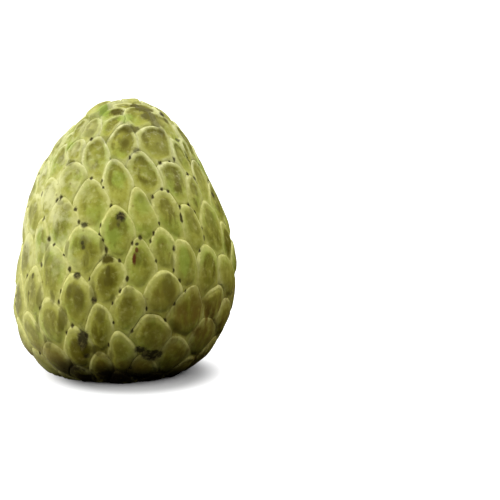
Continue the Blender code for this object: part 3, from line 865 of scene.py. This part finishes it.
class SkinPaint(Tree):
    """Colours of the skin, each laid over the ones before it."""

    def __init__(self, tree, skin):
        super().__init__(tree)
        self.skin = skin
        self.place = self.node("ShaderNodeTexCoord").outputs["Object"]
        parts = self.node("ShaderNodeSeparateXYZ", {"Vector": self.place}).outputs
        self.across = parts["X"]
        self.height = parts["Z"]
        upright = self.vector("MULTIPLY", self.place, UPRIGHT)
        self.broad = self.mottle(self.place, BROAD_CLOUDS)
        self.fine = self.mottle(self.place, FINE_CLOUDS)
        self.streaks = self.mottle(upright, STREAKS)
        self.blotches = self.mottle(upright, BLOTCHES)
        depth, self.own, self.share, self.tone = (self.field(name) for name in Skin.FIELDS)
        depth = self.scaled(self.centred(self.fine), DEPTH_BY_FINE, depth)
        self.depth = self.scaled(self.centred(self.broad), DEPTH_BY_BROAD, depth)
        self.near_tip = self.step(self.height, *NEAR_TIP)
        self.dark = self.step(self.tone, *DARKER_SCALES)
        self.pale = self.mix(self.near_tip, PALE_RIM, CREAM)
        grain = self.centred(self.noise(self.place, *SCAR_GRAIN))
        self.grain = self.times(grain, SCAR_RAGGED)
        soft = self.times(self.centred(self.streaks), SOFT_BY_STREAKS)
        self.soft_grain = self.scaled(self.centred(self.fine), SOFT_BY_FINE, soft)
        self.scars = self.marks(self.grain, SCARS)
        ragged_pore = self.scaled(self.centred(self.fine), PORE_BY_FINE, self.field("pore"))
        self.holes = self.step(ragged_pore, *PORE_EDGE)

    def blemish(self, grain, middle, wide, long):
        """One spot, with its half width and half length."""
        made = self.group(
            "blemish", Place=self.place, Middle=tuple(middle),
            Per_Reach=(1.0 / wide, 1.0 / wide, 1.0 / long), Grain=grain)
        return made.outputs["Mask"]

    def mark(self, grain, right, down, wide, long, strength):
        """One spot on the front, at the place where it shows in the view."""
        middle = seen_at(self.skin.points, right, down) + self.skin.moved
        return self.times(self.blemish(grain, middle, wide * MM, long * MM), strength)

    def marks(self, grain, marks):
        """All of these spots as one mask."""
        mask = self.mark(grain, *marks[0])
        for mark in marks[1:]:
            mask = self.math("MAXIMUM", mask, self.mark(grain, *mark))
        return mask

    def flesh(self):
        """Olive, riper in some scales and clouds, and greener in others."""
        ripe = self.scaled(self.broad, RIPE_BY_BROAD, self.times(self.tone, RIPE_BY_SCALE))
        ripe = self.scaled(self.streaks, RIPE_BY_STREAKS, ripe)
        green = self.step(self.mottle(self.place, GREEN_CLOUDS), *GREENER)
        return self.mix(green, self.mix(ripe, DEEP_OLIVE, OLIVE), FRESH_GREEN)

    def shaded(self, colour):
        """Painted shade inside the upper rims, and darker in the middle of the scales and in fine
        mottling.
        """
        starts = self.between(self.near_tip, SHADE_STARTS)
        shade = self.step(self.depth, starts, self.between(self.near_tip, SHADE_FULL))
        in_middle = self.between(self.near_tip, SHADE_IN_MIDDLE)
        shade = self.times(
            shade, self.step(self.depth, *SHADE_BEYOND_MIDDLE, in_middle, 1.0),
            self.step(self.own, *SHADE_OF_OWN), self.math("MAXIMUM", self.dark, self.near_tip),
            self.step(self.streaks, *SHADE_STREAKS))
        colour = self.mix(shade, colour, SHADED_OLIVE)
        blotches = self.step(self.blotches, *MIDDLE_BLOTCHES)
        patchy = self.math("MAXIMUM", blotches, self.step(self.tone, *MIDDLE_OF_DARKEST))
        middle = self.times(self.step(self.share, *MIDDLE_OF_SCALE), patchy, self.dark)
        colour = self.mix(middle, colour, SHADED_OLIVE)
        colour = self.mix(self.step(self.fine, *DARK_MOTTLING), colour, SHADED_OLIVE)
        return self.mix(self.step(self.fine, *PALE_MOTTLING), colour, self.pale)

    def rimmed(self, colour):
        """Pale rims that fade inwards, with a thin paler line along the scale's edge."""
        ends = self.between(self.near_tip, RIM_ENDS)
        rim = self.times(
            self.step(self.depth, ends, RIM_FULL), self.between(self.own, RIM_BY_OWN),
            self.between(self.near_tip, RIM_STRENGTH), self.step(self.broad, *RIM_CLOUDS))
        colour = self.mix(rim, colour, self.pale)
        patchy = self.times(self.own, self.step(self.streaks, *LINE_STREAKS))
        return self.mix(self.times(self.step(self.depth, *LINE_DEPTH), patchy), colour, self.pale)

    def yellowed_with_painted_sheen(self, colour):
        """Yellower at the top, with a painted sheen high on the left and along the left side, where the
        light falls.
        """
        colour = self.mix(self.step(self.height, *YELLOW_HEIGHT), colour, TIP_YELLOW)
        left = self.times(self.step(self.across, *SHEEN_ACROSS), self.step(self.height, *SHEEN_HEIGHT))
        sheen = self.times(left, self.step(self.broad, *SHEEN_CLOUDS))
        sheen = self.math("MAXIMUM", sheen, self.step(self.across, *SHEEN_AT_LEFT_SIDE))
        return self.mix(sheen, colour, PAINTED_SHEEN)

    def bronzed_with_painted_shade(self, colour):
        """Bronze low on the right and lowest all round: partly real bronzing, partly painted shade."""
        bronze_and_shade = self.times(
            self.step(self.height, *BRONZE_SHADE_HEIGHT), self.step(self.across, *BRONZE_SHADE_ACROSS),
            self.step(self.broad, *BRONZE_SHADE_CLOUDS), self.step(self.streaks, *BRONZE_SHADE_STREAKS))
        lowest = self.times(self.step(self.height, *LOWEST_HEIGHT), self.step(self.broad, *LOWEST_CLOUDS))
        return self.mix(self.math("MAXIMUM", bronze_and_shade, lowest), colour, BRONZE_AND_PAINTED_SHADE)

    def footed(self, colour, stem_middle):
        """A dark foot, partly crust and partly painted shade where it meets the floor, and dry cork in
        the stem hollow.
        """
        slant = self.scaled(self.across, FOOT_SLANT, self.height)
        foot = self.times(
            self.step(slant, *FOOT_HEIGHT), self.step(self.broad, *FOOT_CLOUDS),
            self.step(self.across, *FOOT_ACROSS))
        colour = self.mix(foot, colour, FOOT_CRUST_AND_SHADE)
        hollow = self.blemish(self.grain, stem_middle, HOLLOW_WIDE, HOLLOW_LONG)
        return self.mix(self.times(hollow, HOLLOW_STRENGTH), colour, CORK)

    def marked(self, colour):
        """Specks, green patches, stains, pores, scars and red streaks."""
        specks = self.times(self.specks(self.place, SPECKLE), SPECKLE_STRENGTH)
        colour = self.mix(specks, colour, BRONZE_AND_PAINTED_SHADE)
        colour = self.mix(self.marks(self.soft_grain, GREENS), colour, FRESH_GREEN)
        colour = self.mix(self.marks(self.soft_grain, STAINS), colour, STAIN)
        colour = self.mix(self.holes, colour, PORE_BROWN)
        scar_look = self.mix(self.step(self.fine, *GREY_IN_SCARS), SCAR_DARK, SCAR_GREY)
        colour = self.mix(self.scars, colour, scar_look)
        return self.mix(self.marks(self.grain, RED_STREAKS), colour, RUST)

    def roughness(self):
        """Satin, duller where it is mottled and in the scars."""
        rough = self.scaled(self.fine, ROUGH_BY_FINE, SMOOTHEST)
        return self.scaled(self.scars, ROUGH_BY_SCARS, rough)

    def bumps(self):
        """Fine pitting, with the pores sunk into it."""
        height = self.scaled(self.fine, BUMP_BY_FINE, self.noise(self.place, *PITS))
        height = self.scaled(self.holes, BUMP_BY_PORES, height)
        inputs = {"Strength": BUMP_STRENGTH, "Distance": BUMP_HEIGHT, "Height": height}
        return self.node("ShaderNodeBump", inputs).outputs["Normal"]


def skin_finish(skin, stem_middle):
    """Olive scales with pale rims, dark pores in the corners and scars, a dark foot and bronzed lower
    right that are partly painted shade, and a painted sheen high on the left.
    """
    finish = bpy.data.materials.new("skin_with_pale_rims")
    finish.use_nodes = True
    surface = finish.node_tree.nodes["Principled BSDF"].inputs
    paint = SkinPaint(finish.node_tree, skin)
    colour = paint.rimmed(paint.shaded(paint.flesh()))
    colour = paint.bronzed_with_painted_shade(paint.yellowed_with_painted_sheen(colour))
    colour = paint.marked(paint.footed(colour, stem_middle))
    paint.give(surface["Base Color"], colour)
    paint.give(surface["Roughness"], paint.roughness())
    paint.give(surface["Normal"], paint.bumps())
    surface["Metallic"].default_value = 0.0
    surface["Specular IOR Level"].default_value = GLOSS
    return finish


BARK_CLOUDS = (300.0, 2.2)
BARK_SPECKLE = (900.0, 0.3)
BARK_SPECKLE_STRENGTH = 0.5
CUT_EDGE = (0.25 * MM, 0.05 * MM)    # over the cut, from bark to bare wood
BARK_ROUGHNESS = 0.85
BARK_BUMP = {"Strength": 0.5, "Distance": 0.3 * MM}


def stem_finish(cut_height):
    """Dry ridged bark, and pale wood where the stem was cut."""
    finish = bpy.data.materials.new("cut_stem_bark")
    finish.use_nodes = True
    tree = Tree(finish.node_tree)
    surface = finish.node_tree.nodes["Principled BSDF"].inputs
    place = tree.node("ShaderNodeTexCoord").outputs["Object"]
    height = tree.node("ShaderNodeSeparateXYZ", {"Vector": place}).outputs["Z"]
    broad = tree.mottle(place, BARK_CLOUDS)
    colour = tree.mix(broad, BARK_DARK, BARK)
    cut = tree.step(height, *(cut_height + edge for edge in CUT_EDGE))
    colour = tree.mix(cut, colour, CUT_WOOD)
    specks = tree.times(tree.specks(place, BARK_SPECKLE), BARK_SPECKLE_STRENGTH)
    tree.give(surface["Base Color"], tree.mix(specks, colour, BARK_DARK))
    surface["Roughness"].default_value = BARK_ROUGHNESS
    bump = tree.node("ShaderNodeBump", {"Height": broad, **BARK_BUMP})
    tree.give(surface["Normal"], bump.outputs["Normal"])
    return finish


def add_piece(name, points, faces, finish):
    """A smooth-shaded mesh with its finish, put into the scene."""
    mesh = bpy.data.meshes.new(name)
    mesh.from_pydata([tuple(point) for point in points], [], faces)
    mesh.materials.append(finish)
    mesh.polygons.foreach_set("use_smooth", [True] * len(mesh.polygons))
    mesh.update()
    made = bpy.data.objects.new(name, mesh)
    bpy.context.scene.collection.objects.link(made)
    return made


def dress_fruit(stem_middle):
    """The fruit with its fine scales, in place of the plain solid."""
    skin = Skin()
    low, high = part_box("fruit")
    middle = 0.5 * (skin.points.min(axis=0) + skin.points.max(axis=0))
    solid_middle = np.array([0.5 * (low.x + high.x), 0.5 * (low.y + high.y), 0.0])
    skin.moved = solid_middle - middle * (1.0, 1.0, 0.0)
    finish = skin_finish(skin, stem_middle)
    piece = add_piece("scaly_skin", skin.points + skin.moved, skin.faces, finish)
    for name, values in skin.fields.items():
        field = piece.data.attributes.new(name, "FLOAT", "POINT")
        field.data.foreach_set("value", np.array(values, dtype=np.float32))
    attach(piece, "root")
    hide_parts("fruit")


# The cut stem: share of its length up from the cut, share of its radius
STEM_RINGS = [
    (0.0, 0.55), (0.0, 0.9), (0.03, 1.0), (0.12, 1.05), (0.35, 1.02), (0.6, 1.04),
    (0.75, 1.12), (0.88, 1.26), (0.96, 1.4), (1.0, 1.42), (1.0, 0.8),
]
STEM_SIDES = 48
STEM_WIDEST = 1.46            # the solid's flared top, as a share of the radius
STEM_RIDGES = 9
RIDGE_DEPTH = 0.04
RIDGE_TWIST = 2.0
STEM_OUT_OF_ROUND = 0.05
STEM_TURN = 0.5


def stem_point(rise, reach, side):
    """A point on the stem: how far up, how far out, and all sideways shares of its radius."""
    angle = 2.0 * np.pi * side / STEM_SIDES
    ridge = 1.0 + RIDGE_DEPTH * np.sin(STEM_RIDGES * angle + RIDGE_TWIST * rise)
    ridge += STEM_OUT_OF_ROUND * np.sin(3.0 * angle + STEM_TURN)
    return reach * ridge * np.cos(angle), reach * ridge * np.sin(angle), rise


def stem_faces():
    """The sides ring by ring, and a cap at each end."""
    faces = []
    for ring in range(len(STEM_RINGS) - 1):
        for side in range(STEM_SIDES):
            first = ring * STEM_SIDES + side
            after = ring * STEM_SIDES + (side + 1) % STEM_SIDES
            faces.append((first, after, after + STEM_SIDES, first + STEM_SIDES))
    last = (len(STEM_RINGS) - 1) * STEM_SIDES
    faces.append(tuple(reversed(range(STEM_SIDES))))
    faces.append(tuple(range(last, last + STEM_SIDES)))
    return faces


def dress_stem():
    """The cut stem in its hollow, with ridged bark and a flared top."""
    low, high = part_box("stem_stub")
    middle = 0.5 * (low + high)
    radius = 0.5 * (high.x - low.x) / STEM_WIDEST
    spread = np.array([radius, radius, high.z - low.z])
    shape = [stem_point(*ring, side) for ring in STEM_RINGS for side in range(STEM_SIDES)]
    points = np.array([middle.x, middle.y, low.z]) + spread * shape
    piece = add_piece("cut_stem", points, stem_faces(), stem_finish(low.z))
    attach(piece, "root")
    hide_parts("stem_stub")
    return Vector((middle.x, middle.y, high.z))


WHITE = (1.0, 1.0, 1.0, 1.0)
SENSOR = 36.0                 # mm
FARTHEST_SEEN = 100.0
FLOOR_SIZE = 30.0
FLOOR_COLOUR = (0.5, 0.5, 0.5, 1.0)
FLOOR_ROUGHNESS = 0.9

# The floor glows for the camera except close to the fruit, which paints the outline of its shadow, and on
# the left it throws light up at it:
# from where to where in metres, then from how bright to how bright
GLOW = (26.0 * MM, 44.0 * MM, 0.0, 0.8)
GLOW_MIDDLE = (0.005, -0.008, 0.0)
GLOW_NARROWING = (1.0, 0.74, 1.0)
BOUNCE = (-20.0 * MM, -70.0 * MM, 0.0, 1.0)

# Soft light from all round, by how far sideways or upwards it comes from
ALL_ROUND = (0.05, 0.5, 0.0, 1.3)
LEFT = (-0.3, -0.85, 0.0, 1.9)
HIGH_RIGHT_SIDEWAYS = (0.2, 0.8)
HIGH_RIGHT_UPWARDS = (0.25, 0.5)
HIGH_RIGHT = 2.5
LOW_RIGHT_SIDEWAYS = (0.0, 0.45)
LOW_RIGHT_UPWARDS = (0.6, 0.3)
LOW_RIGHT_HELD_BACK = 0.6


def floor_finish():
    """A matt pale floor that glows for the camera except close to the fruit: the soft shadow there is
    partly real shade and partly a painted shadow shaped by the glow.
    """
    finish = bpy.data.materials.new("pale_floor")
    finish.use_nodes = True
    tree = Tree(finish.node_tree)
    surface = finish.node_tree.nodes["Principled BSDF"]
    surface.inputs["Base Color"].default_value = FLOOR_COLOUR
    surface.inputs["Roughness"].default_value = FLOOR_ROUGHNESS
    surface.inputs["Specular IOR Level"].default_value = 0.0
    surface.inputs["Emission Color"].default_value = WHITE
    place = tree.node("ShaderNodeTexCoord").outputs["Object"]
    away = tree.vector("SUBTRACT", place, GLOW_MIDDLE)
    away = tree.vector("LENGTH", tree.vector("MULTIPLY", away, GLOW_NARROWING))
    tree.give(surface.inputs["Emission Strength"], tree.step(away, *GLOW))
    across = tree.node("ShaderNodeSeparateXYZ", {"Vector": place}).outputs["X"]
    bounce = tree.node("ShaderNodeEmission", {"Strength": tree.step(across, *BOUNCE)}).outputs[0]
    seen = tree.node("ShaderNodeLightPath").outputs["Is Camera Ray"]
    both = tree.node("ShaderNodeMixShader", {0: seen, 1: bounce, 2: surface.outputs[0]}).outputs[0]
    tree.give(finish.node_tree.nodes["Material Output"].inputs["Surface"], both)
    return finish


def add_floor():
    """One wide flat floor, which the fruit stands on."""
    half = 0.5 * FLOOR_SIZE
    corners = [(-half, -half, 0.0), (half, -half, 0.0), (half, half, 0.0), (-half, half, 0.0)]
    floor = add_piece("floor", corners, [(0, 1, 2, 3)], floor_finish())


def add_lights():
    """A soft dome, brighter on the left and high on the right, and dimmer low on the right."""
    world = bpy.data.worlds.new("studio")
    world.use_nodes = True
    sky = world.node_tree.nodes["Background"]
    sky.inputs["Color"].default_value = WHITE
    tree = Tree(world.node_tree)
    way = tree.node("ShaderNodeTexCoord").outputs["Generated"]
    parts = tree.node("ShaderNodeSeparateXYZ", {"Vector": way}).outputs
    sideways = parts["X"]
    upwards = parts["Z"]
    high_right = tree.times(
        tree.step(sideways, *HIGH_RIGHT_SIDEWAYS), tree.step(upwards, *HIGH_RIGHT_UPWARDS))
    low_right = tree.times(
        tree.step(sideways, *LOW_RIGHT_SIDEWAYS), tree.step(upwards, *LOW_RIGHT_UPWARDS))
    light = tree.math("ADD", tree.step(sideways, *LEFT), tree.step(upwards, *ALL_ROUND))
    light = tree.scaled(high_right, HIGH_RIGHT, light)
    light = tree.times(light, tree.scaled(low_right, -LOW_RIGHT_HELD_BACK, 1.0))
    seen = tree.node("ShaderNodeLightPath").outputs["Is Camera Ray"]
    tree.give(sky.inputs["Strength"], tree.math("MAXIMUM", seen, light))
    bpy.context.scene.world = world


def add_camera():
    """Looks past the fruit at the middle of the picture, as the photograph frames it."""
    per_pixel = PIXEL_AT_FRUIT / CAMERA_DISTANCE
    lens = bpy.data.cameras.new("camera")
    lens.sensor_width = SENSOR
    lens.lens = SENSOR / (IMAGE_PIXELS * per_pixel)
    lens.clip_end = FARTHEST_SEEN
    right = np.array([1.0, 0.0, 0.0])
    across = (FOOT_PIXEL[0] - 0.5 * IMAGE_PIXELS) * per_pixel
    above = (0.5 * IMAGE_PIXELS - FOOT_PIXEL[1]) * per_pixel
    camera = bpy.data.objects.new("camera", lens)
    camera.location = -CAMERA_DISTANCE * (FORWARD + right * across + UPWARD * above)
    camera.rotation_euler = (0.5 * np.pi - CAMERA_ELEVATION, 0.0, 0.0)
    bpy.context.scene.collection.objects.link(camera)
    bpy.context.scene.camera = camera


bpy.context.scene.view_settings.view_transform = "Standard"
make_mottle()
make_blemish()
make_specks()
stem_top = dress_stem()
dress_fruit(stem_top)
add_floor()
add_lights()
add_camera()
